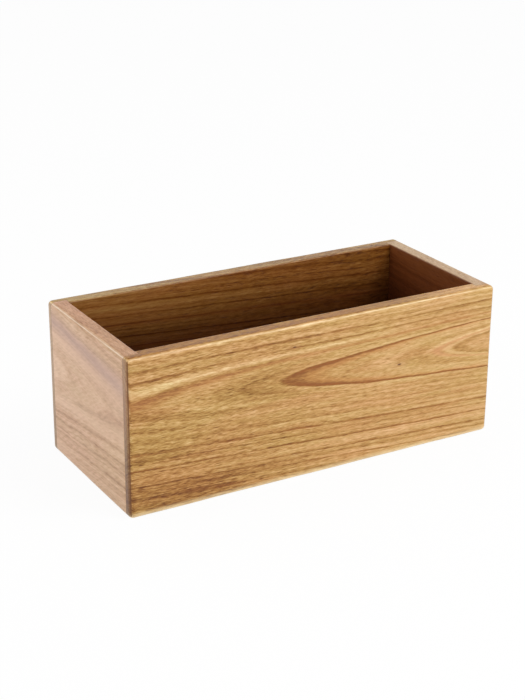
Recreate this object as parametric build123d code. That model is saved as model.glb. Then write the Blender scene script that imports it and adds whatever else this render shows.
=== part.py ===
from build123d import *
import os

# Open-topped wooden caddy box for condiment bottles, in millimetres.
# +X runs along the long boards, -Y is the front, +Z is up.
# The origin is the middle of the box, on the surface that it stands on.

# Overall size, outside
box_length = 270.0
box_width = 118.0
box_height = 105.0

# The four boards. Each end board is glued into a rebate in both long boards,
# so the long boards' end grain shows as a strip beside the end boards.
board_thickness = 11.0
corner_lap = 6.0  # wood that a rebate leaves outside the end board: the width of that strip
outer_edge_round = 3.0  # every outside edge, rounded over once the box is glued up
rim_edge_round = 1.0  # inside edge of the rim

# Base panel, held in grooves that run the whole length of each board's inside face
panel_thickness = 5.0
panel_lift = 6.0  # height of the panel's underside above the surface
groove_depth = 4.5
panel_slide_gap = 0.15  # room above the panel in the groove
panel_swell_gap = 0.6  # room for the panel to swell, between its edge and the groove's bottom

# Sizes that follow from those above
inside_length = box_length - 2 * board_thickness
inside_width = box_width - 2 * board_thickness
end_board_length = box_width - 2 * corner_lap
groove_height = panel_thickness + panel_slide_gap
panel_tuck = groove_depth - panel_swell_gap

BOTTOM_CENTRE = (Align.CENTER, Align.CENTER, Align.MIN)


def standing_block(length, width, height, floor):
    """Block centred on the box in plan, standing at the height floor."""
    block = Box(length, width, height, align=BOTTOM_CENTRE)
    return Pos(0, 0, floor) * block


def glued_frame():
    """The four boards as one ring, with its edges rounded."""
    block = standing_block(box_length, box_width, box_height, 0)
    block = fillet(block.edges(), outer_edge_round)
    ring = block - standing_block(inside_length, inside_width, box_height, 0)
    rim = ring.faces().sort_by(Axis.Z)[-1]
    return fillet(rim.inner_wires()[0].edges(), rim_edge_round)


def end_share(side_x):
    """Block over one end board's share: from its inside face out past its outside face."""
    block = standing_block(2 * board_thickness, end_board_length, box_height, 0)
    return Pos(side_x * box_length / 2, 0, 0) * block


def long_share(side_y):
    """Block over one long board's share: its half of the box, less the rebates for the end boards."""
    half = standing_block(2 * box_length, box_width, box_height, 0)
    return Pos(0, side_y * box_width / 2, 0) * half - end_share(-1) - end_share(1)


def panel_groove(length, width):
    """Block that cuts the panel's groove in the boards round it, out to this length and width."""
    return standing_block(length, width, groove_height, panel_lift)


def base_panel():
    """Panel that lies on the grooves' lower side."""
    length = inside_length + 2 * panel_tuck
    width = inside_width + 2 * panel_tuck
    return standing_block(length, width, panel_thickness, panel_lift)


frame = glued_frame()
groove_length = inside_length + 2 * groove_depth
groove_width = inside_width + 2 * groove_depth
long_boards = frame - panel_groove(inside_length, groove_width)
end_boards = frame - panel_groove(groove_length, end_board_length)

parts = {
    "front_board": long_boards & long_share(-1),
    "back_board": long_boards & long_share(1),
    "left_end_board": end_boards & end_share(-1),
    "right_end_board": end_boards & end_share(1),
    "base_panel": base_panel(),
}

os.makedirs("parts", exist_ok=True)
for node, shape in parts.items():
    shape.label = node
    export_step(shape, f"parts/{node}.step")
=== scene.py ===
import math

import bmesh
import bpy
import numpy as np
from mathutils import Euler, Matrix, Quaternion, Vector


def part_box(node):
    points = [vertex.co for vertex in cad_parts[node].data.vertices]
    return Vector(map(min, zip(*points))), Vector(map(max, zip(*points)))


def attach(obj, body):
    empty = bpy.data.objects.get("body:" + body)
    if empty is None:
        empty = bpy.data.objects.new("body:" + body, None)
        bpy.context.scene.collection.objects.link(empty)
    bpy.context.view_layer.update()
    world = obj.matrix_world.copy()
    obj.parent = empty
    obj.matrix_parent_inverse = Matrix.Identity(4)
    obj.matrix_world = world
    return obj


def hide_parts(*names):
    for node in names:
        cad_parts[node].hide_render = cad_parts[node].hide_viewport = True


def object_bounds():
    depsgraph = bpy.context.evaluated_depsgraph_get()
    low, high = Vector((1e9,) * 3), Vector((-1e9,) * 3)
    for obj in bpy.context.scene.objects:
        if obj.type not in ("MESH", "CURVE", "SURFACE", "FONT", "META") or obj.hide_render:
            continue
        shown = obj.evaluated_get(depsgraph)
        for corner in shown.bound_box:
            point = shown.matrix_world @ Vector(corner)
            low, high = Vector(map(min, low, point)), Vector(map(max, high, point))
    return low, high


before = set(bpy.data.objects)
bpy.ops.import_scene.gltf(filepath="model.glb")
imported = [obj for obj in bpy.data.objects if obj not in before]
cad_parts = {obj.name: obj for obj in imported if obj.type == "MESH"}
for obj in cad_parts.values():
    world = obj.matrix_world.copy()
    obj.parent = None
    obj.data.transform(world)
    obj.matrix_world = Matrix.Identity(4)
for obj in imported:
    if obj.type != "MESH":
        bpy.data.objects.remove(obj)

# An open-topped caddy box in oiled hardwood: two long boards, rebated for the two end boards, and a
# grooved-in base. Metres throughout, with +X along the long boards, -Y the front and +Z up.
# Wood patterns are in millimetres.

cadLow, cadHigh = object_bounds()
halfLength, halfWidth, height = cadHigh.x, cadHigh.y, cadHigh.z
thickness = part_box("front_board")[1].y + halfWidth
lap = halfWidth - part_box("left_end_board")[1].y  # wood that a rebate leaves outside an end board
insideLength, insideWidth = halfLength - thickness, halfWidth - thickness  # half of each


# ---- boards as surfaces

boardShape = {
    "outerRound": 0.0030,  # radius of every outside edge
    "roundChange": 0.0003,  # how far the sanded radius wanders along the edges
    "rimRound": 0.0010,  # radius of the rim's inside edge
    "roundWaves": ((55, 31, 23), (-120, 47, 90)),  # two slow waves, in radians per metre of x, y and z
    "faceDip": 0.00006,  # how far sanding has dipped the flat faces
    "dipWaves": ((38, 44, 61), (90, -70, 35)),
    "seamReach": 0.0005,  # the fine V along each joint, from the joint to its edge
    "seamDepth": 0.0001,
    "grooveDepth": 0.0045,
    "grooveSlack": 0.00015,  # room above the base panel
    "roundSteps": 8,  # points on half of an outside edge
    "rimSteps": 7,  # points on the rim's inside edge
    "faceSteps": 24,  # points up a face
    "lapSteps": 4,  # points across the rest of the rim, and along a long board's end
    "stationStep": 0.005,  # spacing of the sections along a board
    "stationGap": 0.002,  # the even sections stop this far short of the close ones
    "endReach": 0.0035,  # the close sections of a long board's end start this far in
    "cornerStations": (-0.5, 0, 0.25, 0.5, 0.75, 1, 2.5),  # past an inside corner, in rim radii
    "weldReach": 2e-6,  # points closer than this become one
    "creaseAngle": 32,  # degrees past which an edge is shaded sharp
}
hair = 1e-7  # slack where two places are compared


def evenTurn(shape):
    # distances in from a sharp edge that roundOver spreads into equal arcs: r - r * tan(angle)
    reach = shape["outerRound"] + shape["roundChange"]
    return reach - reach * np.tan(np.linspace(math.pi / 4, 0, shape["roundSteps"]))


def faceSpots(shape):
    # heights up an outside face, and depths behind it as far as the rebate's bottom, closer at the edges
    turn = evenTurn(shape)
    climb = np.linspace(turn[-1], height - turn[-1], shape["faceSteps"])
    rises = np.concatenate([turn, climb[1:-1], height - turn[::-1]])
    laps = np.concatenate([turn, [(turn[-1] + lap) / 2, lap - shape["seamReach"], lap]])
    return rises, laps


def closedSection(*pieces):
    # joins (depth, rise) pieces and ends on the first point again
    depth = np.concatenate([np.broadcast_arrays(a, b)[0].ravel() for a, b in pieces])
    rise = np.concatenate([np.broadcast_arrays(a, b)[1].ravel() for a, b in pieces])
    return np.append(depth, depth[0]), np.append(rise, rise[0])


def wholeSection(shape):
    # up the outside face, over the rim, down the inside face and round the panel's groove, back under
    rises, laps = faceSpots(shape)
    panelLow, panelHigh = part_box("base_panel")
    grooveLow, grooveHigh = panelLow.z, panelHigh.z + shape["grooveSlack"]
    rimRound = shape["rimRound"]
    arc = np.linspace(math.pi / 2, 0, shape["rimSteps"])
    past = np.linspace(lap, thickness - rimRound, shape["lapSteps"])
    notch = thickness - shape["grooveDepth"]
    return closedSection(
        (0.0, rises),
        (np.concatenate([laps[1:], past[1:-1]]), height),
        (thickness - rimRound + rimRound * np.cos(arc), height - rimRound + rimRound * np.sin(arc)),
        (thickness, np.linspace(height - rimRound, grooveHigh, shape["faceSteps"])[1:]),
        (np.array([notch, notch, thickness, thickness]), np.array([grooveHigh, grooveLow, grooveLow, 0.0])),
        (np.concatenate([past[::-1], laps[::-1][1:-1]]), 0.0),
    )


def lapSection(shape):
    # the thinner section outside a rebate: the outside face, the rim, the rebate's bottom, the foot
    rises, laps = faceSpots(shape)
    return closedSection((0.0, rises), (laps[1:], height), (lap, rises[::-1][1:]), (laps[::-1][1:-1], 0.0))


def slowWave(points, first, second):
    # smooth number from -1 to 1 that depends only on the place, so boards that meet agree: two sines
    return 0.6 * np.sin(points @ np.array(first)) + 0.4 * np.sin(points @ np.array(second) + 2.1)


def nearJoint(points, reach):
    # 1 on the L-shaped joint line of the nearest corner, 0 beyond reach of it
    x, y = np.abs(points[..., 0]), np.abs(points[..., 1])
    lapLine = np.hypot(np.maximum(insideLength - x, 0), y - (halfWidth - lap))
    aside = np.maximum(np.maximum(insideWidth - y, y - (halfWidth - lap)), 0)
    return np.clip(1 - np.minimum(lapLine, np.hypot(x - insideLength, aside)) / reach, 0, 1)


def roundOver(points, shape):
    # nearest point of the block that lies one radius inside the box, plus at most the radius outwards
    wave = slowWave(points, *shape["roundWaves"])
    radius = (shape["outerRound"] + shape["roundChange"] * wave)[..., None]
    low = np.array([-halfLength, -halfWidth, 0]) + radius
    high = np.array([halfLength, halfWidth, height]) - radius
    core = np.clip(points, low, high)
    out = points - core
    length = np.maximum(np.linalg.norm(out, axis=-1, keepdims=True), hair)
    dip = shape["faceDip"] * (1 + slowWave(points, *shape["dipWaves"])) / 2
    dip = dip + shape["seamDepth"] * nearJoint(points, shape["seamReach"])
    return core + out * np.minimum(1, (radius - dip[..., None]) / length)


def carried(stations, section, halfAcross):
    # a section carried along the board: a grid of points, one row for each station
    depth, rise = section
    grid = np.empty((len(stations), len(depth), 3))
    grid[..., 0] = np.asarray(stations)[:, None]
    grid[..., 1] = depth - halfAcross
    grid[..., 2] = rise
    return grid


def gridFaces(rows, columns, first):
    # four-sided faces of a grid of points that starts at index first
    row, column = np.meshgrid(np.arange(rows - 1), np.arange(columns - 1), indexing="ij")
    here = first + row * columns + column
    return np.stack([here, here + columns, here + columns + 1, here + 1], -1).reshape(-1, 4).tolist()


def makeBoard(name, node, quarterTurns, grids, plates, shape):
    # grids of points and single flat plates, turned to their side of the box, rounded and welded shut
    angle = quarterTurns * math.pi / 2
    cos, sin = round(math.cos(angle)), round(math.sin(angle))
    spin = np.array([[cos, sin, 0], [-sin, cos, 0], [0, 0, 1]])
    points, faces = [], []
    for grid in grids:
        faces += gridFaces(grid.shape[0], grid.shape[1], sum(map(len, points)))
        points.append(grid.reshape(-1, 3))
    for plate in plates:
        first = sum(map(len, points))
        faces.append(list(range(first, first + len(plate))))
        points.append(plate)
    placed = roundOver(np.concatenate(points) @ spin, shape)

    mesh = bpy.data.meshes.new(name)
    mesh.from_pydata(placed.tolist(), [], faces)
    work = bmesh.new()
    work.from_mesh(mesh)
    bmesh.ops.remove_doubles(work, verts=work.verts, dist=shape["weldReach"])
    bmesh.ops.recalc_face_normals(work, faces=work.faces)
    work.to_mesh(mesh)
    work.free()
    mesh.shade_smooth()
    mesh.set_sharp_from_angle(angle=math.radians(shape["creaseAngle"]))
    board = bpy.data.objects.new(name, mesh)
    bpy.context.scene.collection.objects.link(board)
    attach(board, "root")
    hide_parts(node)
    return board


def makeLongBoard(name, node, quarterTurns, shape):
    # whole section between the rebates, thin section past them, end-grain caps and shoulders
    whole, thin = wholeSection(shape), lapSection(shape)
    rises, laps = faceSpots(shape)
    seam = insideLength - shape["seamReach"]
    right = np.append(np.arange(0, seam - shape["stationGap"], shape["stationStep"]), [seam, insideLength])
    pastShoulder = np.linspace(insideLength, halfLength - shape["endReach"], shape["lapSteps"])
    outer = np.concatenate([pastShoulder, halfLength - evenTurn(shape)[::-1]])
    grids = [carried(np.concatenate([-right[:0:-1], right]), whole, halfWidth)]
    plates = []
    for side in (-1, 1):
        grids.append(carried(side * outer, thin, halfWidth))
        cap = np.empty((len(laps), len(rises), 3))
        cap[..., 0] = side * halfLength
        cap[..., 1] = laps[:, None] - halfWidth
        cap[..., 2] = rises
        grids.append(cap)
        depth, rise = whole[0][:-1], whole[1][:-1]
        shoulder = depth >= lap - hair
        rebate = rises[1:-1]
        depth = np.concatenate([depth[shoulder], np.full(len(rebate), lap)])
        rise = np.concatenate([rise[shoulder], rebate])
        plates.append(np.stack([np.full(len(depth), side * insideLength), depth - halfWidth, rise], -1))
    return makeBoard(name, node, quarterTurns, grids, plates, shape)


def makeEndBoard(name, node, quarterTurns, shape):
    # the whole section from rebate to rebate; past the inside corners its rim edge loses its rounding
    end = halfWidth - lap
    rimRound = shape["rimRound"]
    even = np.arange(0, insideWidth - shape["stationGap"], shape["stationStep"])
    corner = insideWidth + rimRound * np.array(shape["cornerStations"])
    right = np.concatenate([even, corner, [end - shape["seamReach"], end]])
    grid = carried(np.concatenate([-right[:0:-1], right]), wholeSection(shape), halfLength)
    inward = -grid[..., 1]
    fromInside = np.clip(inward - insideLength, 0, rimRound)
    past = np.clip(np.abs(grid[..., 0]) - insideWidth, 0, rimRound)
    onRound = (grid[..., 2] >= height - rimRound - hair) & (inward < insideLength + rimRound + hair)
    reach = rimRound - np.maximum(fromInside, past)
    lifted = height - rimRound + np.sqrt(np.maximum(rimRound ** 2 - reach ** 2, 0))
    grid[..., 2] = np.where(onRound & (past > 0), np.maximum(lifted, grid[..., 2]), grid[..., 2])
    return makeBoard(name, node, quarterTurns, [grid], [grid[0, :-1], grid[-1, :-1]], shape)


boards = {
    "frontBoard": makeLongBoard("frontBoard", "front_board", 0, boardShape),
    "rightEndBoard": makeEndBoard("rightEndBoard", "right_end_board", 1, boardShape),
    "backBoard": makeLongBoard("backBoard", "back_board", 2, boardShape),
    "leftEndBoard": makeEndBoard("leftEndBoard", "left_end_board", 3, boardShape),
}
counts = [f"{label} {len(board.data.polygons)} faces" for label, board in boards.items()]
print("boards made:", ", ".join(counts))


# ---- small helpers for node trees


def seen(red, green, blue):
    # a colour as the eye sees it, from 0 to 255, in the linear values that nodes take
    parts = [value / 255 for value in (red, green, blue)]
    return [p / 12.92 if p <= 0.04045 else ((p + 0.055) / 1.055) ** 2.4 for p in parts] + [1.0]


def plug(tree, value, socket):
    # links a socket, or sets a plain value
    if isinstance(value, bpy.types.NodeSocket):
        tree.links.new(value, socket)
    else:
        socket.default_value = value


def calc(tree, operation, *values, clamp=False):
    node = tree.nodes.new("ShaderNodeMath")
    node.operation = operation
    node.use_clamp = clamp
    for socket, value in zip(node.inputs, values):
        plug(tree, value, socket)
    return node.outputs[0]


def vectorCalc(tree, operation, first, second, output="Vector"):
    node = tree.nodes.new("ShaderNodeVectorMath")
    node.operation = operation
    plug(tree, first, node.inputs[0])
    plug(tree, second, node.inputs[1])
    return node.outputs[output]


def split(tree, vector):
    node = tree.nodes.new("ShaderNodeSeparateXYZ")
    plug(tree, vector, node.inputs[0])
    return node.outputs


def combine(tree, x, y, z):
    node = tree.nodes.new("ShaderNodeCombineXYZ")
    for socket, value in zip(node.inputs, (x, y, z)):
        plug(tree, value, socket)
    return node.outputs[0]


def ramp(tree, value, low, high, toLow=0.0, toHigh=1.0):
    # smooth step from low to high
    node = tree.nodes.new("ShaderNodeMapRange")
    node.interpolation_type = "SMOOTHSTEP"
    for socket, number in zip(node.inputs, (value, low, high, toLow, toHigh)):
        plug(tree, number, socket)
    return node.outputs[0]


def farFrom(tree, first, second):
    # length of the hypotenuse over two sides
    return calc(tree, "SQRT", calc(tree, "ADD", calc(tree, "MULTIPLY", first, first),
                                   calc(tree, "MULTIPLY", second, second)))


def mixColour(tree, amount, first, second, blend="MIX"):
    # inputs 6 and 7 and output 2 are the Mix node's colour sockets
    node = tree.nodes.new("ShaderNodeMix")
    node.data_type = "RGBA"
    node.blend_type = blend
    plug(tree, amount, node.inputs[0])
    plug(tree, first, node.inputs[6])
    plug(tree, second, node.inputs[7])
    return node.outputs[2]


def colourRamp(tree, value, stops):
    node = tree.nodes.new("ShaderNodeValToRGB")
    marks = node.color_ramp.elements
    while len(marks) < len(stops):
        marks.new(1.0)
    for mark, (place, colour) in zip(marks, stops):
        mark.position = place
        mark.color = colour
    plug(tree, value, node.inputs[0])
    return node.outputs[0]


def newGroup(name, inputs, outputs):
    # an empty shader group with named sockets: inputs as (name, kind, value), outputs as (name, kind)
    group = bpy.data.node_groups.new(name, "ShaderNodeTree")
    for label, kind, value in inputs:
        socket = group.interface.new_socket(label, in_out="INPUT", socket_type="NodeSocket" + kind)
        socket.default_value = value
    for label, kind in outputs:
        group.interface.new_socket(label, in_out="OUTPUT", socket_type="NodeSocket" + kind)
    return group, group.nodes.new("NodeGroupInput").outputs, group.nodes.new("NodeGroupOutput").inputs


def useGroup(tree, group, **values):
    # places a group, with camelCase names standing for its sockets
    node = tree.nodes.new("ShaderNodeGroup")
    node.node_tree = group
    for label, value in values.items():
        plug(tree, value, node.inputs[label])
    return node.outputs


# ---- what the woods share


def makeBoardSpace():
    # place on a board in millimetres: along its grain, across its width, and out of its outside face
    group, given, result = newGroup(
        "boardSpace",
        [("grainAxis", "Vector", (1, 0, 0)), ("widthAxis", "Vector", (0, 0, 1)),
         ("outAxis", "Vector", (0, -1, 0)), ("faceAt", "Float", 0.0)],
        [("place", "Vector")],
    )
    spot = group.nodes.new("ShaderNodeTexCoord").outputs["Object"]
    axes = [given[label] for label in ("grainAxis", "widthAxis", "outAxis")]
    parts = [vectorCalc(group, "DOT_PRODUCT", spot, axis, "Value") for axis in axes]
    along, across, out = [calc(group, "MULTIPLY", part, 1000.0) for part in parts]
    plug(group, combine(group, along, across, calc(group, "SUBTRACT", out, given["faceAt"])), result["place"])
    return group


def makeStretchedNoise():
    # noise about 0, from roughly -1 to 1, drawn out along the grain by its three scales
    group, given, result = newGroup(
        "stretchedNoise",
        [("place", "Vector", (0, 0, 0)), ("scales", "Vector", (1, 1, 1)), ("seed", "Float", 0.0),
         ("detail", "Float", 2.0)],
        [("value", "Float")],
    )
    scaled = vectorCalc(group, "MULTIPLY", given["place"], given["scales"])
    moved = vectorCalc(group, "ADD", scaled, combine(group, given["seed"], given["seed"], given["seed"]))
    noise = group.nodes.new("ShaderNodeTexNoise")
    noise.inputs["Scale"].default_value = 1.0
    plug(group, moved, noise.inputs["Vector"])
    plug(group, given["detail"], noise.inputs["Detail"])
    plug(group, calc(group, "MULTIPLY_ADD", noise.outputs[0], 4.0, -2.0), result["value"])
    return group


ringSway = {
    # how the rings wander: scales of the noise along, across and into the board, and its share
    "waves": (((0.012, 0.04, 0.04), 1.0), ((0.045, 0.16, 0.16), 0.35), ((0.13, 0.5, 0.5), 0.12)),
    "levelOver": 15.0,  # over how many millimetres the lines turn more level
    "levelShare": 0.45,  # share of the taper that is left there
}


def makeGrowthRings(stretchedNoise, ringSway):
    # distance from the tree's heart, less the trunk's taper: ring lines are where it is constant.
    # 0 is the ring whose flame has its tip at tipAlong; above levelAbove the lines run more level
    group, given, result = newGroup(
        "growthRings",
        [("place", "Vector", (0, 0, 0)), ("heartAcross", "Float", 66.0), ("heartBehind", "Float", 30.0),
         ("taper", "Float", 0.03), ("tipAlong", "Float", 0.0), ("drift", "Float", 0.0),
         ("levelAbove", "Float", 1000.0), ("wander", "Float", 1.0), ("seed", "Float", 0.0)],
        [("ring", "Float"), ("grainPlace", "Vector"), ("aside", "Float")],
    )
    sway = 0.0
    for scales, share in ringSway["waves"]:
        wave = useGroup(group, stretchedNoise, place=given["place"], scales=scales, seed=given["seed"])
        sway = calc(group, "MULTIPLY_ADD", wave["value"], share, sway)
    along, across, out = split(group, given["place"])
    across = calc(group, "MULTIPLY_ADD", sway, given["wander"], across)
    middle = calc(group, "MULTIPLY_ADD", along, given["drift"], given["heartAcross"])
    aside = calc(group, "SUBTRACT", across, middle)
    fromHeart = farFrom(group, aside, calc(group, "ADD", given["heartBehind"], out))
    levelEnd = calc(group, "ADD", given["levelAbove"], ringSway["levelOver"])
    levelled = ramp(group, across, given["levelAbove"], levelEnd, 1.0, ringSway["levelShare"])
    slope = calc(group, "MULTIPLY", given["taper"], levelled)
    grown = calc(group, "MULTIPLY", slope, calc(group, "SUBTRACT", along, given["tipAlong"]))
    ring = calc(group, "SUBTRACT", calc(group, "SUBTRACT", fromHeart, given["heartBehind"]), grown)
    plug(group, ring, result["ring"])
    plug(group, combine(group, along, across, out), result["grainPlace"])
    plug(group, aside, result["aside"])
    return group


def makeRingLine():
    # one growth line: exp(-distance squared), full at ringAt and down to about a third at a distance of
    # edge on the bark side and of tail on the heart side
    group, given, result = newGroup(
        "ringLine",
        [("ring", "Float", 0.0), ("ringAt", "Float", 0.0), ("edge", "Float", 0.2), ("tail", "Float", 0.6)],
        [("mask", "Float")],
    )
    away = calc(group, "SUBTRACT", given["ring"], given["ringAt"])
    barkSide = calc(group, "DIVIDE", away, given["edge"])
    heartSide = calc(group, "DIVIDE", calc(group, "MULTIPLY", away, -1.0), given["tail"])
    reach = calc(group, "MAXIMUM", barkSide, heartSide)
    plug(group, calc(group, "EXPONENT", calc(group, "MULTIPLY", calc(group, "MULTIPLY", reach, reach), -1.0)),
         result["mask"])
    return group


knotShape = {
    "longer": 2.4,  # how much longer than wide a knot is
    "deep": (-4.0, -2.0),  # where it fades below the outside face
    "eye": (0.25, 1.0),  # where the eye fades, in knot sizes
    "stain": (0.8, 4.5),
}


def makePinKnot(knotShape):
    # a tiny knot on the outside face: a dark eye, drawn out along the grain, and the stain round it
    group, given, result = newGroup(
        "pinKnot",
        [("place", "Vector", (0, 0, 0)), ("alongAt", "Float", 0.0), ("acrossAt", "Float", 0.0),
         ("size", "Float", 1.0)],
        [("eye", "Float"), ("stain", "Float")],
    )
    along, across, out = split(group, given["place"])
    asideLong = calc(group, "DIVIDE", calc(group, "SUBTRACT", along, given["alongAt"]), knotShape["longer"])
    aside = calc(group, "SUBTRACT", across, given["acrossAt"])
    shared = calc(group, "DIVIDE", farFrom(group, asideLong, aside), given["size"])
    shallow = ramp(group, out, *knotShape["deep"])
    for label in ("eye", "stain"):
        mask = ramp(group, shared, *knotShape[label], 1.0, 0.0)
        plug(group, calc(group, "MULTIPLY", shallow, mask), result[label])
    return group


boxEdges = {
    # where each mask fades, in millimetres, or in radii or seam widths where it says so
    "levelEdge": (0.3, 0.46),  # radii of the outside edges
    "uprightEdge": (0.32, 0.48),  # radii
    "joint": (0.3, 1.7),  # seam widths
    "endGrain": (0.15, 1.3),  # in from a long board's end
    "rim": (0.12, 0.45),  # below the rim
    "inside": (-0.8, -0.05),  # from a board's inside face, where less than 0 is in its wood
    "foot": (0.5, 5.0),  # above the table
    "lower": (3.0, 45.0),  # below the rim
}


def makeBoxPlaces(boxEdges):
    # masks by place on the box: rounded level and upright edges, joint lines, the long boards' end grain,
    # the flat of the rim, the inside, the foot, and what lies well below the rim
    size = [1000 * halfLength, 1000 * halfWidth, 1000 * height]
    thick, lapWide = 1000 * thickness, 1000 * lap
    labels = ("levelEdge", "uprightEdge", "joint", "endGrain", "rim", "inside", "foot", "lower")
    group, given, result = newGroup("boxPlaces", [("round", "Float", 3.0), ("seam", "Float", 0.3)],
                                    [(label, "Float") for label in labels])
    metres = group.nodes.new("ShaderNodeTexCoord").outputs["Object"]
    x, y, z = split(group, vectorCalc(group, "MULTIPLY", metres, (1000, 1000, 1000)))
    fromEnd = calc(group, "SUBTRACT", size[0], calc(group, "ABSOLUTE", x))
    fromSide = calc(group, "SUBTRACT", size[1], calc(group, "ABSOLUTE", y))
    fromTop = calc(group, "SUBTRACT", size[2], z)
    nearer = calc(group, "MINIMUM", fromEnd, fromSide)
    farther = calc(group, "MAXIMUM", fromEnd, fromSide)
    level = calc(group, "MAXIMUM", nearer, calc(group, "MINIMUM", z, fromTop))

    # how far from the line along the lap, and from the shoulder across the board
    offLap = calc(group, "SUBTRACT", fromSide, lapWide)
    pastThick = calc(group, "SUBTRACT", fromEnd, thick)
    lapLine = farFrom(group, calc(group, "MAXIMUM", pastThick, 0.0), offLap)
    beyond = calc(group, "MAXIMUM", calc(group, "SUBTRACT", lapWide, fromSide),
                  calc(group, "SUBTRACT", fromSide, thick))
    shoulder = farFrom(group, pastThick, calc(group, "MAXIMUM", beyond, 0.0))
    fromJoint = calc(group, "MINIMUM", lapLine, shoulder)

    def fades(label, distance, unit=1.0, low=1.0, high=0.0):
        near, far = [calc(group, "MULTIPLY", unit, share) for share in boxEdges[label]]
        plug(group, ramp(group, distance, near, far, low, high), result[label])

    fades("levelEdge", level, given["round"])
    fades("uprightEdge", farther, given["round"])
    fades("joint", fromJoint, given["seam"])
    fades("endGrain", fromEnd)
    fades("rim", fromTop)
    fades("inside", calc(group, "SUBTRACT", nearer, thick), low=0.0, high=1.0)
    fades("foot", z)
    fades("lower", fromTop, low=0.0, high=1.0)
    return group


boardSpace = makeBoardSpace()
stretchedNoise = makeStretchedNoise()
growthRings = makeGrowthRings(stretchedNoise, ringSway)
ringLine = makeRingLine()
pinKnot = makePinKnot(knotShape)
boxPlaces = makeBoxPlaces(boxEdges)


# ---- the woods

longWood = {
    "tones": [(0.0, seen(250, 224, 170)), (0.25, seen(229, 189, 134)), (0.5, seen(202, 157, 93)),
              (0.75, seen(166, 117, 54)), (1.0, seen(116, 66, 18))],
    "base": 0.47,  # shade of plain wood, from 0 pale to 1 dark
    "bands": 0.11,  # how strongly each layer of grain shades the wood, broad to fine
    "streaks": 0.18,
    "fibres": 0.17,
    "threads": 0.18,
    "flecks": 0.09,
    "pores": 0.24,
    "fleckSlope": -0.15,  # rise of the flecks along the board
    "fineFade": (1.12, 0.7),  # share of the fine grain at the left end and at the right end
    "olive": seen(250, 255, 244),  # tints that the hue drifts between
    "rosy": seen(255, 246, 248),
    "redLine": seen(166, 98, 40),  # cast of the strongest growth lines
    "roughness": 0.36,
    "paintedSideShade": (0.05, -0.05),  # painted light and shade along the board, as shade added at the left end and at the right end
    "paintedLowShade": 0.13,  # painted shade low on the left
    "endGrain": (seen(152, 114, 90), seen(106, 72, 52)),  # upper and lower half
    "paintedRimTone": (seen(194, 168, 94), seen(242, 234, 212)),  # painted reflection and shade on the rim: its tint, and the tint of its right end
    "paintedHighlightTone": seen(254, 230, 180),  # colour of the painted highlight on the rounded level edges, and of the painted floor light at the foot
    "paintedEdgeHighlight": (0.35, 0.75),  # how strong the painted edge highlight is on the left and on the right
    "paintedFootHighlight": 0.95,  # and the painted highlight at the foot, light from the floor
    "paintedInsideShade": (seen(192, 162, 126), seen(108, 78, 56)),  # painted shade inside: its tints by the rim and lower down
}

endWood = {
    **longWood,
    # paler, pinker tones than the long boards': partly the end boards' own colour, partly painted sheen
    "tones": [(0.0, seen(250, 222, 197)), (0.25, seen(232, 196, 164)), (0.5, seen(208, 168, 132)),
              (0.75, seen(172, 129, 93)), (1.0, seen(124, 82, 50))],
    "base": 0.45,
    "bands": 0.13,
    "streaks": 0.11,
    "fibres": 0.055,
    "threads": 0.03,
    "flecks": 0.10,
    "pores": 0.07,
    "fleckSlope": 0.4,
    "fineFade": (1.0, 1.0),
    "olive": seen(253, 255, 251),
    "rosy": seen(255, 250, 252),
    "redLine": seen(170, 118, 86),
    # painted light and shade along the end boards
    "paintedSideShade": (-0.09, 0.09),
    "paintedLowShade": 0.0,
    # the end boards' painted rim reflection and shade
    "paintedRimTone": (seen(224, 204, 188), seen(224, 204, 188)),
    # the end boards' painted highlights on the level edges and the foot
    "paintedHighlightTone": seen(255, 236, 212),
    "paintedEdgeHighlight": (0.75, 0.75),
    "paintedFootHighlight": 0.15,
    # painted shade inside the end boards
    "paintedInsideShade": (seen(150, 104, 68), seen(94, 58, 36)),
}

# the back board's own painted rim reflection and shade
backWood = {**longWood, "paintedRimTone": (seen(200, 194, 170), seen(200, 194, 170)),
            # its end grain is paler and greyer than the front board's: partly painted sheen at the box's far
            # edge
            "endGrain": (seen(184, 158, 138), seen(158, 134, 118))}
# the right end board's own painted rim reflection and shade
rightWood = {**endWood, "paintedRimTone": (seen(220, 220, 208), seen(220, 220, 208))}

panelWood = {
    **longWood,
    "tones": [(0.0, seen(162, 114, 68)), (0.25, seen(140, 95, 54)), (0.5, seen(118, 77, 42)),
              (0.75, seen(92, 57, 29)), (1.0, seen(58, 34, 15))],
    "redLine": seen(84, 48, 28),
    # the panel gets no painted shade inside
    "paintedInsideShade": (seen(255, 255, 255), seen(255, 255, 255)),
    "roughness": 0.42,
}

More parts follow.
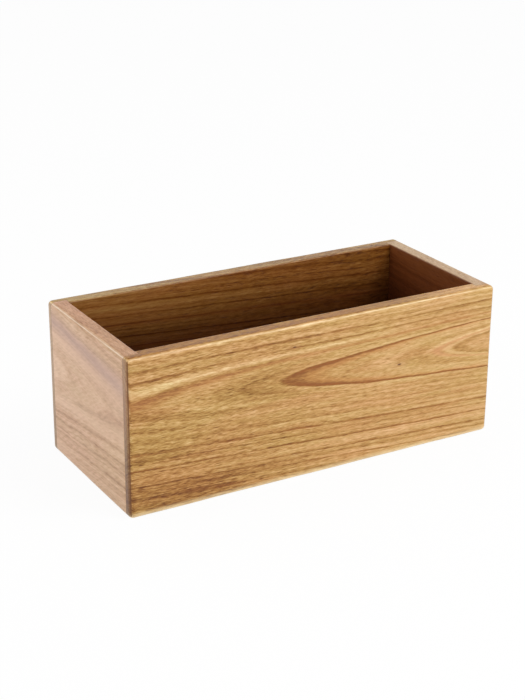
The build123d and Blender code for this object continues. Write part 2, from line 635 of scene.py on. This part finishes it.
frontFigure = {
    "axes": ((1, 0, 0), (0, 0, 1), (0, -1, 0)), "faceAt": 59.0,
    "heartAcross": 68.4, "heartBehind": 30.0, "taper": 0.0315, "tipAlong": -24.5, "drift": -0.0215,
    "levelAbove": 79.0, "wander": 0.7, "seed": 3.0,
    # growth lines as (ring, edge, tail, strength, side of the heart or 0 for both, from, to along the
    # board); a negative strength makes a pale line
    "rings": [
        (0.0, 0.15, 0.40, 0.56, 0, -200, 200),
        (-3.64, 0.14, 0.12, 0.14, 0, 60, 200), (-4.14, 0.14, 0.35, 0.26, 0, 60, 200),
        (-3.89, 0.1, 0.1, -0.14, 0, 60, 200),
        (1.0, 0.14, 0.3, 0.16, 0, -75, -20), (0.35, 0.1, 0.15, 0.12, 0, -60, -20),
        (3.75, 0.3, 0.9, 0.24, 1, -200, -18), (3.75, 0.25, 0.6, 0.12, 1, -18, 200),
        (3.75, 0.3, 0.9, 0.13, -1, -200, 0), (-3.25, 0.3, 0.22, -0.3, 1, 85, 130),
        (5.0, 0.6, 0.5, -0.22, 1, -200, 60), (7.0, 0.25, 0.6, 0.26, 1, -200, 200),
        (7.0, 0.3, 0.8, 0.10, -1, -200, 200),
        (10.5, 0.3, 0.8, 0.24, 1, -200, 200), (10.5, 0.3, 1.2, 0.08, -1, -200, 200),
        (15.4, 0.3, 0.8, 0.34, -1, -200, 200), (19.0, 0.3, 0.8, 0.18, -1, -200, 200),
        (23.0, 0.35, 0.7, 0.38, -1, -200, 200), (26.2, 1.0, 1.0, -0.14, -1, -200, 200),
        (29.3, 0.35, 0.7, 0.28, -1, -80, 200), (32.5, 0.4, 0.8, 0.16, -1, -200, 200),
        (35.5, 0.4, 0.8, 0.24, -1, -90, 120), (40.0, 1.8, 2.6, 0.26, -1, -200, -60),
        (40.5, 0.5, 0.7, 0.22, -1, -70, 200),
    ],
    # colour casts that follow the rings, as (ring, reach, side, strength, colour)
    "casts": [(-0.6, 0.35, 0, 0.3, seen(212, 140, 80)), (-3.6, 0.14, 0, 0.4, seen(228, 160, 116)),
              (3.4, 0.6, 1, 0.35, seen(200, 134, 80))],
    "knots": [(-20.0, 91.0, 0.75), (60.0, 63.5, 0.9)],
}

leftFigure = {
    "axes": ((0, -1, 0), (0, 0, 1), (-1, 0, 0)), "faceAt": 135.0,
    "heartAcross": 62.0, "heartBehind": 26.0, "taper": -0.06, "tipAlong": 130.0, "drift": 0.01,
    "levelAbove": 1000.0, "wander": 1.3, "seed": 21.0,
    "rings": [
        (3.0, 0.5, 1.6, 0.20, -1, -200, 200), (12.5, 0.5, 1.8, 0.20, -1, -200, 200),
        (3.3, 3.5, 3.5, 0.22, 1, -200, 200), (-5.0, 0.4, 1.2, 0.14, -1, -20, 200),
        (7.5, 0.8, 1.2, 0.07, -1, -200, 200), (20.0, 0.8, 2.5, 0.12, -1, -200, 200),
        (13.0, 0.5, 2.5, 0.09, 1, -200, 200),
    ],
    "casts": [(3.5, 4.5, 1, 0.6, seen(200, 166, 154)), (-3.0, 4.0, 0, 0.3, seen(236, 200, 170))],
    "knots": [],
}

backFigure = {
    **frontFigure,
    "axes": ((-1, 0, 0), (0, 0, 1), (0, 1, 0)),
    "heartAcross": 40.0, "taper": 0.041, "tipAlong": 38.0, "drift": 0.012, "levelAbove": 1000.0, "seed": 47.0,
    "rings": [(ring, edge, tail, strength, 0, -200, 200) for ring, edge, tail, strength in (
        (-3.0, 0.15, 0.3, 0.3), (0.0, 0.15, 0.5, 0.42), (2.8, 0.25, 0.7, 0.2), (6.0, 0.3, 0.8, 0.32),
        (10.5, 0.3, 0.8, 0.2), (14.0, 0.3, 0.8, 0.32), (19.5, 0.4, 0.9, 0.24), (24.0, 1.0, 1.0, -0.14),
        (27.5, 0.4, 0.8, 0.34), (32.0, 0.4, 0.9, 0.2), (38.0, 0.5, 1.2, 0.3), (43.0, 0.4, 1.0, 0.2))],
    "casts": [(-0.5, 0.4, 0, 0.35, seen(212, 140, 80)), (14.0, 1.5, 0, 0.3, seen(206, 140, 86))],
    "knots": [(-72.0, 26.0, 0.9)],
}

rightFigure = {
    **leftFigure,
    "axes": ((0, 1, 0), (0, 0, 1), (1, 0, 0)),
    "heartAcross": 30.0, "taper": 0.05, "tipAlong": 90.0, "drift": -0.02, "seed": 63.0,
    "rings": [(ring, edge, tail, strength, 0, -200, 200) for ring, edge, tail, strength in (
        (2.0, 0.3, 0.8, 0.18), (6.5, 0.4, 1.0, 0.2), (12.0, 0.4, 1.0, 0.16), (17.5, 0.4, 1.2, 0.22),
        (24.0, 0.5, 1.2, 0.16), (33.0, 3.0, 3.0, 0.14), (42.0, 0.5, 1.4, 0.2))],
}

panelFigure = {
    **backFigure,
    "axes": ((1, 0, 0), (0, 1, 0), (0, 0, 1)), "faceAt": 11.0,
    "heartAcross": -14.0, "heartBehind": 44.0, "taper": 0.03, "tipAlong": -60.0, "seed": 80.0, "knots": [],
    "casts": [],
}


noiseLook = {
    # each noise as (scales, seed, detail): the scales along the board, then across and into it
    "fibres": ((0.13, 0.85, 0.85), 23.0, 3.0),
    "threads": ((0.28, 2.1, 2.1), 29.0, 2.0),
    "flecks": ((0.13, 0.55, 0.55), 31.0, 2.0),
    "pores": ((0.13, 1.6, 1.6), 37.0, 2.0),
    "broadHue": ((0.008, 0.03, 0.03), 41.0, 2.0),
    "fineHue": ((0.02, 0.14, 0.14), 43.0, 2.0),
    # these three follow the rings: along the board, then across the rings
    "fading": ((0.03, 0.25, 0.0), 5.0, 2.0),
    "bands": ((0.006, 0.3, 0.0), 11.0, 2.0),
    "streaks": ((0.006, 1.0, 0.0), 17.0, 3.0),
}

grainLook = {
    "openPores": (0.2, 0.9),  # pore noise where a pore starts and where it is full
    "fadeEnds": (-0.8, 0.8),  # fading noise where a growth line is faintest and strongest
    "fadeShare": (0.6, 1.3),  # and its share there
    "noEnd": 200,  # a growth line that runs from -200 to 200 along the board doesn't stop
    "stopOver": 8.0,  # half of the length over which a line dies away where it stops
    "sideOver": (-1.0, 2.0),  # where a line that keeps to one side of the heart fades in
    "fineEnds": (-110.0, 110.0),  # from where to where the fine grain changes along the board
    "sideEnds": (-135.0, 135.0),  # and the shade
    "lowAlong": (-150.0, 40.0),  # the painted shade low on the left: where it ends along the board
    "lowAcross": (0.0, 95.0),  # and up it
    "rimThreads": 0.2,  # added threads on the rim
}

colourLook = {
    "hueShare": 0.7,  # weight of each hue noise
    "hueEnds": (-0.9, 0.9),
    "redGain": 1.7,  # how fast a growth line turns red as it gets stronger
    "redStart": 0.35,  # strength after that gain at which it starts to
    "stain": (0.25, seen(176, 112, 70)),  # strength and colour round a knot
    "eye": (0.9, seen(88, 38, 8)),
    "rimEnds": (50.0, 125.0),  # from where to where the rim's painted tint changes
    "paintedHighlightEnds": (-100.0, 60.0),  # and how strong the painted highlight on the level edges is
    "paintedHighlightPatches": (1.15, 0.6),  # share of the painted edge highlight on pale fibres and on dark ones
    "endGrainHeights": (25.0, 85.0),  # from its lower colour to its upper one
    "endGrainShare": 0.72,
    "uprightEdge": (0.85, seen(108, 64, 32)),  # strength and colour of the dark upright edges
    "joint": (0.45, seen(86, 52, 30)),
}

finishLook = {
    "edgeRound": 3.0,  # millimetres, as the seam's
    "seamWidth": 0.22,
    "specular": 0.35,
    "poreRoughness": 0.14,  # added in the pores
    "fibreRoughness": 0.03,
    "shadeRelief": -0.6,  # height of dark wood against pale
    "poreRelief": -1.0,
    "reliefStrength": 0.4,
    "reliefDepth": 0.00015,  # metres
}


def grain(tree, figure, where, layer):
    # one layer of this board's own noise
    scales, seed, detail = noiseLook[layer]
    return useGroup(tree, stretchedNoise, place=where, scales=scales, seed=figure["seed"] + seed,
                    detail=detail)["value"]


def onSide(tree, mask, aside, side):
    # keeps a mask to one side of the heart: 1 above it, -1 below it, 0 both
    if not side:
        return mask
    onThatSide = ramp(tree, calc(tree, "MULTIPLY", aside, side), *grainLook["sideOver"])
    return calc(tree, "MULTIPLY", mask, onThatSide)


def growthLines(tree, figure, rings, along, ringPlace):
    # all growth lines added up; they come and go along the board
    over = grainLook["stopOver"]
    lines = 0.0
    for ringAt, edge, tail, strength, side, start, stop in figure["rings"]:
        mask = useGroup(tree, ringLine, ring=rings["ring"], ringAt=ringAt, edge=edge, tail=tail)["mask"]
        mask = onSide(tree, mask, rings["aside"], side)
        if start > -grainLook["noEnd"]:
            mask = calc(tree, "MULTIPLY", mask, ramp(tree, along, start - over, start + over))
        if stop < grainLook["noEnd"]:
            mask = calc(tree, "MULTIPLY", mask, ramp(tree, along, stop - over, stop + over, 1.0, 0.0))
        lines = calc(tree, "MULTIPLY_ADD", mask, strength, lines)
    fading = grain(tree, figure, ringPlace, "fading")
    share = ramp(tree, fading, *grainLook["fadeEnds"], *grainLook["fadeShare"])
    return calc(tree, "MULTIPLY", lines, share)


def grainLayers(tree, wood, figure, rings, ringPlace):
    # from broad bands that follow the rings to short fibres, slanting flecks and open pores
    grainPlace = rings["grainPlace"]
    along, across, out = split(tree, grainPlace)
    slant = combine(tree, along, calc(tree, "MULTIPLY_ADD", along, -wood["fleckSlope"], across), out)
    wheres = {"bands": ringPlace, "streaks": ringPlace, "fibres": grainPlace, "threads": grainPlace,
              "flecks": slant, "pores": grainPlace}
    layers = {layer: grain(tree, figure, where, layer) for layer, where in wheres.items()}
    layers["pores"] = ramp(tree, layers["pores"], *grainLook["openPores"])
    return layers


def woodShade(tree, wood, layers, lines, along, across, rim):
    # from 0 pale to 1 dark: the plain wood, its growth lines, its layers of grain, painted light and shade
    # along the board and painted shade low on the left
    shade = calc(tree, "ADD", lines, wood["base"])
    fine = ramp(tree, along, *grainLook["fineEnds"], *wood["fineFade"])
    for layer, value in layers.items():
        if layer not in ("bands", "streaks"):
            value = calc(tree, "MULTIPLY", value, fine)
        shade = calc(tree, "MULTIPLY_ADD", value, wood[layer], shade)
    rimThreads = calc(tree, "MULTIPLY", layers["threads"], rim)
    shade = calc(tree, "MULTIPLY_ADD", rimThreads, grainLook["rimThreads"], shade)
    # painted light and shade along the board
    shade = calc(tree, "ADD", shade, ramp(tree, along, *grainLook["sideEnds"], *wood["paintedSideShade"]))
    # painted shade low on the left of the board
    paintedLowLeft = calc(tree, "MULTIPLY", ramp(tree, along, *grainLook["lowAlong"], 1.0, 0.0),
                   ramp(tree, across, *grainLook["lowAcross"], 1.0, 0.0))
    return calc(tree, "MULTIPLY_ADD", paintedLowLeft, wood["paintedLowShade"], shade)


def figureColour(tree, wood, figure, rings, place, shade, lines):
    # the shade's colour, with its drifting hue, red growth lines, casts along the rings, and knots
    look = colourLook
    colour = colourRamp(tree, shade, wood["tones"])
    hue = 0.0
    for layer in ("broadHue", "fineHue"):
        noise = grain(tree, figure, rings["grainPlace"], layer)
        hue = calc(tree, "MULTIPLY_ADD", noise, look["hueShare"], hue)
    tint = mixColour(tree, ramp(tree, hue, *look["hueEnds"]), wood["olive"], wood["rosy"])
    colour = mixColour(tree, 1.0, colour, tint, "MULTIPLY")
    strong = calc(tree, "MULTIPLY_ADD", lines, look["redGain"], -look["redStart"], clamp=True)
    colour = mixColour(tree, strong, colour, wood["redLine"])
    for ringAt, reach, side, strength, cast in figure["casts"]:
        mask = useGroup(tree, ringLine, ring=rings["ring"], ringAt=ringAt, edge=reach, tail=reach)["mask"]
        mask = onSide(tree, mask, rings["aside"], side)
        colour = mixColour(tree, calc(tree, "MULTIPLY", mask, strength), colour, cast)
    for alongAt, acrossAt, size in figure["knots"]:
        knot = useGroup(tree, pinKnot, place=place, alongAt=alongAt, acrossAt=acrossAt, size=size)
        for label in ("stain", "eye"):
            strength, stained = look[label]
            colour = mixColour(tree, calc(tree, "MULTIPLY", knot[label], strength), colour, stained)
    return colour


def placeColour(tree, wood, figure, places, fibres, along, across, colour):
    # what the place on the box does to the colour: painted reflection and shade on the rim, painted
    # highlights on the level edges and the foot, end grain, dark upright edges, joints, and painted shade
    # inside
    look = colourLook
    # painted reflection and shade on the flat of the rim
    paintedRimTone = mixColour(tree, ramp(tree, along, *look["rimEnds"]), *wood["paintedRimTone"])
    colour = mixColour(tree, places["rim"], colour, mixColour(tree, 1.0, colour, paintedRimTone, "MULTIPLY"))
    # painted highlight on the rounded level edges and painted floor light at the foot, broken up by the
    # fibres
    paintedEdgeHighlight = ramp(tree, along, *look["paintedHighlightEnds"], *wood["paintedEdgeHighlight"])
    glow = calc(tree, "MULTIPLY", places["levelEdge"], paintedEdgeHighlight)
    glow = calc(tree, "MAXIMUM", glow, calc(tree, "MULTIPLY", places["foot"], wood["paintedFootHighlight"]))
    glow = calc(tree, "MULTIPLY", glow, ramp(tree, fibres, -1.0, 1.0, *look["paintedHighlightPatches"]), clamp=True)
    colour = mixColour(tree, glow, colour, wood["paintedHighlightTone"])
    if figure["axes"][0][0]:  # a board that runs along the box shows end grain
        upper, lower = wood["endGrain"]
        endTone = mixColour(tree, ramp(tree, across, *look["endGrainHeights"]), lower, upper)
        endColour = mixColour(tree, look["endGrainShare"], colour, endTone)
        colour = mixColour(tree, places["endGrain"], colour, endColour)
    for label in ("uprightEdge", "joint"):
        strength, dark = look[label]
        colour = mixColour(tree, calc(tree, "MULTIPLY", places[label], strength), colour, dark)
    # painted shade on the inside, darker lower down
    paintedInsideShade = mixColour(tree, places["lower"], *wood["paintedInsideShade"])
    return mixColour(tree, places["inside"], colour, mixColour(tree, 1.0, colour, paintedInsideShade, "MULTIPLY"))


def makeWood(name, wood, figure):
    material = bpy.data.materials.new(name)
    material.use_nodes = True
    tree = material.node_tree
    shader = tree.nodes["Principled BSDF"]

    grainAxis, widthAxis, outAxis = figure["axes"]
    place = useGroup(tree, boardSpace, grainAxis=grainAxis, widthAxis=widthAxis, outAxis=outAxis,
                     faceAt=figure["faceAt"])["place"]
    labels = ("heartAcross", "heartBehind", "taper", "tipAlong", "drift", "levelAbove", "wander", "seed")
    rings = useGroup(tree, growthRings, place=place, **{label: figure[label] for label in labels})
    along, across, out = split(tree, rings["grainPlace"])
    ringPlace = combine(tree, along, rings["ring"], 0.0)
    places = useGroup(tree, boxPlaces, round=finishLook["edgeRound"], seam=finishLook["seamWidth"])

    lines = growthLines(tree, figure, rings, along, ringPlace)
    layers = grainLayers(tree, wood, figure, rings, ringPlace)
    shade = woodShade(tree, wood, layers, lines, along, across, places["rim"])
    colour = figureColour(tree, wood, figure, rings, place, shade, lines)
    colour = placeColour(tree, wood, figure, places, layers["fibres"], along, across, colour)
    plug(tree, colour, shader.inputs["Base Color"])
    shader.inputs["Specular IOR Level"].default_value = finishLook["specular"]

    rough = calc(tree, "MULTIPLY_ADD", layers["pores"], finishLook["poreRoughness"], wood["roughness"])
    rough = calc(tree, "MULTIPLY_ADD", layers["fibres"], finishLook["fibreRoughness"], rough)
    plug(tree, rough, shader.inputs["Roughness"])
    relief = calc(tree, "MULTIPLY_ADD", layers["pores"], finishLook["poreRelief"],
                  calc(tree, "MULTIPLY", shade, finishLook["shadeRelief"]))
    bump = tree.nodes.new("ShaderNodeBump")
    bump.inputs["Strength"].default_value = finishLook["reliefStrength"]
    bump.inputs["Distance"].default_value = finishLook["reliefDepth"]
    plug(tree, relief, bump.inputs["Height"])
    plug(tree, bump.outputs[0], shader.inputs["Normal"])
    return material


def dress(piece, material):
    piece.data.materials.clear()
    piece.data.materials.append(material)


dress(boards["frontBoard"], makeWood("frontWood", longWood, frontFigure))
dress(boards["leftEndBoard"], makeWood("leftEndWood", endWood, leftFigure))
dress(boards["backBoard"], makeWood("backWood", backWood, backFigure))
dress(boards["rightEndBoard"], makeWood("rightEndWood", rightWood, rightFigure))
panelSkin = makeWood("panelWood", panelWood, panelFigure)
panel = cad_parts["base_panel"]
for materialSlot in panel.material_slots:
    materialSlot.material = panelSkin
print("woods made, and the base panel dressed:", panel.name, len(panel.material_slots), "slots")


# ---- floor, light and camera

studio = {
    "floorReach": 6.0,  # from the middle to each side
    "floorShade": 0.93,
    "floorGlow": 0.94,  # how far the floor is shown as plain white, past the light that falls on it
    "skyFill": 0.66,  # strength of the room's light on the wood
    "lamps": {  # power, size and place
        "keyLamp": (12.5, 0.9, (0.7, -0.9, 1.3)),
        "sideLamp": (3.0, 0.8, (-1.3, 0.3, 0.7)),
    },
    "lampAim": (0, 0, 0.05),
}


def shownRays(tree):
    # 1 for rays that show a surface straight, in a reflection or through glass, 0 for those that light others
    rays = tree.nodes.new("ShaderNodeLightPath")
    return calc(tree, "MAXIMUM", rays.outputs["Is Camera Ray"],
                calc(tree, "MAXIMUM", rays.outputs["Is Glossy Ray"], rays.outputs["Is Transmission Ray"]))


def makeFloor():
    half = studio["floorReach"]
    corners = [(-half, -half, 0), (half, -half, 0), (half, half, 0), (-half, half, 0)]
    mesh = bpy.data.meshes.new("floor")
    mesh.from_pydata(corners, [], [(0, 1, 2, 3)])
    floor = bpy.data.objects.new("floor", mesh)
    bpy.context.scene.collection.objects.link(floor)
    material = bpy.data.materials.new("floorWhite")
    material.use_nodes = True
    tree = material.node_tree
    tree.nodes.clear()
    diffuse = tree.nodes.new("ShaderNodeBsdfDiffuse")
    diffuse.inputs["Color"].default_value = [studio["floorShade"]] * 3 + [1]
    glow = tree.nodes.new("ShaderNodeEmission")
    glow.inputs["Color"].default_value = (1, 1, 1, 1)
    blend = tree.nodes.new("ShaderNodeMixShader")
    plug(tree, calc(tree, "MULTIPLY", shownRays(tree), studio["floorGlow"]), blend.inputs[0])
    plug(tree, diffuse.outputs[0], blend.inputs[1])
    plug(tree, glow.outputs[0], blend.inputs[2])
    out = tree.nodes.new("ShaderNodeOutputMaterial")
    plug(tree, blend.outputs[0], out.inputs["Surface"])
    mesh.materials.append(material)


def makeWorld():
    world = bpy.data.worlds.new("studioWorld")
    bpy.context.scene.world = world
    world.use_nodes = True
    tree = world.node_tree
    tree.nodes.clear()
    strength = calc(tree, "MULTIPLY_ADD", shownRays(tree), 1.0 - studio["skyFill"], studio["skyFill"])
    sky = tree.nodes.new("ShaderNodeBackground")
    sky.inputs["Color"].default_value = (1, 1, 1, 1)
    plug(tree, strength, sky.inputs["Strength"])
    out = tree.nodes.new("ShaderNodeOutputWorld")
    plug(tree, sky.outputs[0], out.inputs["Surface"])


def makeLamp(name, power, size, place):
    lamp = bpy.data.lights.new(name, "AREA")
    lamp.energy = power
    lamp.size = size
    thing = bpy.data.objects.new(name, lamp)
    bpy.context.scene.collection.objects.link(thing)
    thing.location = place
    back = thing.location - Vector(studio["lampAim"])
    thing.rotation_mode = "QUATERNION"
    thing.rotation_quaternion = back.to_track_quat("Z", "Y")
    thing.visible_camera = False


view = {
    "turn": 30.277,  # degrees
    "tilt": 21.805,
    "roll": 0.439,
    "place": (-0.4975, -0.8373, 0.4542),
    "lens": 81.5,  # millimetres, on a sensor 36 wide
    "sensor": 36.0,
    "nearest": 0.01,
}


def makeCamera():
    # the photograph's view: in front, to the left and above, with no lens shift
    camera = bpy.data.cameras.new("camera")
    camera.lens = view["lens"]
    camera.sensor_width = view["sensor"]
    camera.clip_start = view["nearest"]
    thing = bpy.data.objects.new("camera", camera)
    bpy.context.scene.collection.objects.link(thing)
    thing.location = view["place"]
    thing.rotation_mode = "QUATERNION"
    level = Euler((math.radians(90 - view["tilt"]), 0, math.radians(-view["turn"]))).to_quaternion()
    thing.rotation_quaternion = level @ Quaternion((0, 0, 1), math.radians(view["roll"]))
    bpy.context.scene.camera = thing


makeFloor()
makeWorld()
for label, (power, size, place) in studio["lamps"].items():
    makeLamp(label, power, size, place)
makeCamera()
bpy.context.scene.view_settings.view_transform = "Standard"
print("studio ready")
